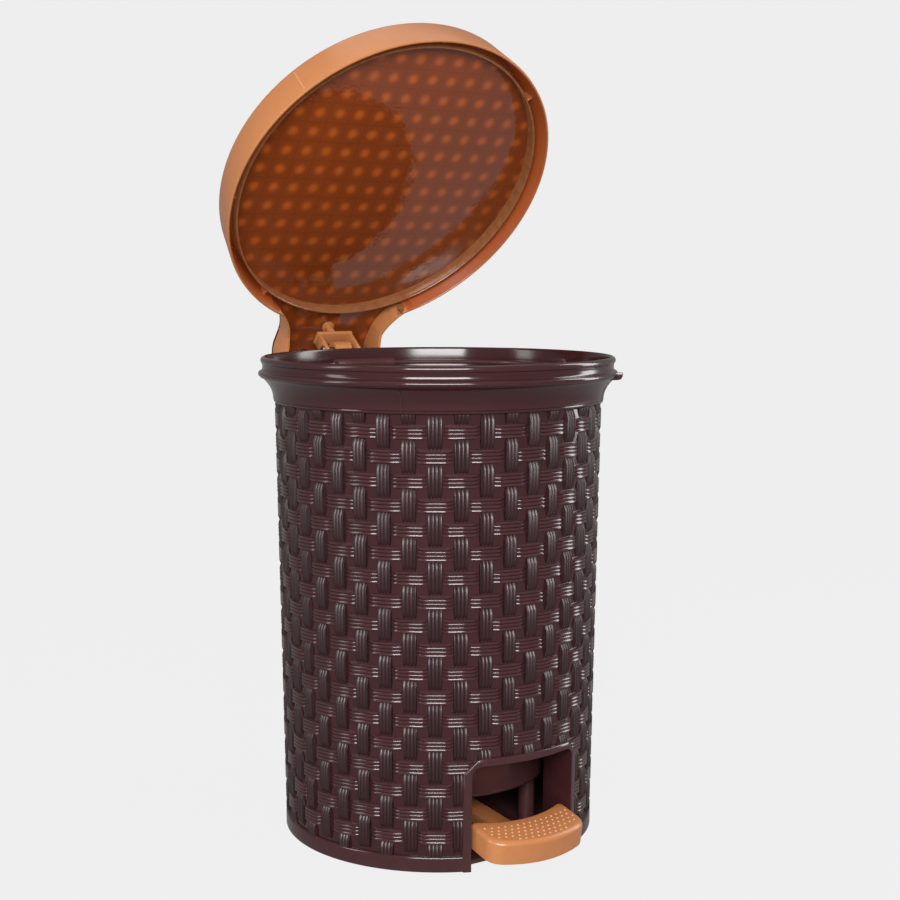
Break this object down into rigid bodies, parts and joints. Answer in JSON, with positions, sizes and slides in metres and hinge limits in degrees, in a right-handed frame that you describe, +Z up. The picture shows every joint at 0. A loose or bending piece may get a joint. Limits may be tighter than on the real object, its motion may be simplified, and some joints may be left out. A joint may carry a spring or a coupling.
{
  "type": "pedal waste bin",
  "caption": "Round pedal-operated waste bin with a woven-look shell, a hinged lid, a push-rod linkage and a lift-out bucket with a bail handle.",
  "frame": {"origin": "bin axis at floor level, on the underside of the base plate", "axes": "+Z up, -Y toward the pedal, +Y toward the lid hinge"},
  "size_m": [0.2788, 0.3348, 0.6156],
  "materials": {
    "shell_plastic": "glossy dark maroon-brown moulded plastic",
    "base_plastic": "satin dark maroon-brown moulded plastic",
    "lid_plastic": "glossy caramel tan moulded plastic",
    "pedal_plastic": "glossy caramel tan moulded plastic",
    "head_plastic": "caramel tan moulded plastic",
    "bucket_plastic": "satin near-black moulded plastic",
    "guide_plastic": "natural moulded plastic",
    "grip_plastic": "dark maroon-brown plastic-coated handle and sleeve",
    "rod_steel": "zinc plated flat bar",
    "pin_steel": "turned steel pin",
    "clip_steel": "spring steel retaining ring",
    "screw_steel": "zinc plated screw"
  },
  "bodies": {
    "bin_body": {"outer_shell": "shell_plastic", "base_plate": "base_plastic", "rear_cover": "shell_plastic", "rod_guide_lower": "guide_plastic", "rod_guide_upper": "guide_plastic", "hinge_pin": "pin_steel", "hinge_cap": "lid_plastic", "fulcrum_pin": "pin_steel", "fulcrum_clip": "clip_steel", "base_screw_1": "screw_steel", "base_screw_2": "screw_steel", "base_screw_3": "screw_steel", "base_screw_4": "screw_steel", "cover_screw_1": "screw_steel", "cover_screw_2": "screw_steel", "cover_screw_3": "screw_steel", "cover_screw_4": "screw_steel"},
    "lid": {"lid_shell": "lid_plastic", "clevis_pin": "pin_steel", "clevis_clip": "clip_steel"},
    "pedal": {"pedal_lever": "pedal_plastic", "lever_pin": "pin_steel", "lever_clip": "clip_steel"},
    "rod": {"push_rod": "rod_steel", "rod_head": "head_plastic"},
    "bucket": {"inner_bucket": "bucket_plastic"},
    "bail": {"bail_handle": "grip_plastic", "bail_grip": "grip_plastic"}
  },
  "joints": [
    {"name": "lid_hinge", "type": "hinge", "parent": "bin_body", "child": "lid", "pos_m": [0, 0.174, 0.356], "axis": [-1, 0, 0], "range_deg": [-51, 14]},
    {"name": "pedal_fulcrum", "type": "hinge", "parent": "bin_body", "child": "pedal", "pos_m": [0, 0.025, 0.022], "axis": [1, 0, 0], "range_deg": [-9.3, 2.6]},
    {"name": "rod_slide", "type": "slide", "parent": "bin_body", "child": "rod", "axis": [0, 0, 1], "range_m": [-0.0204, 0.0057]},
    {"name": "bucket_lift", "type": "slide", "parent": "bin_body", "child": "bucket", "axis": [0, 0, 1], "range_m": [0, 0.01]},
    {"name": "bail_swing", "type": "hinge", "parent": "bucket", "child": "bail", "pos_m": [0, 0, 0.3545], "axis": [1, 0, 0], "range_deg": [0, 180]}
  ],
  "couplings": [
    {"joint": "pedal_fulcrum", "follows": "lid_hinge", "ratio": 0.1814},
    {"joint": "rod_slide", "follows": "lid_hinge", "m_per_rad": 0.022734}
  ]
}
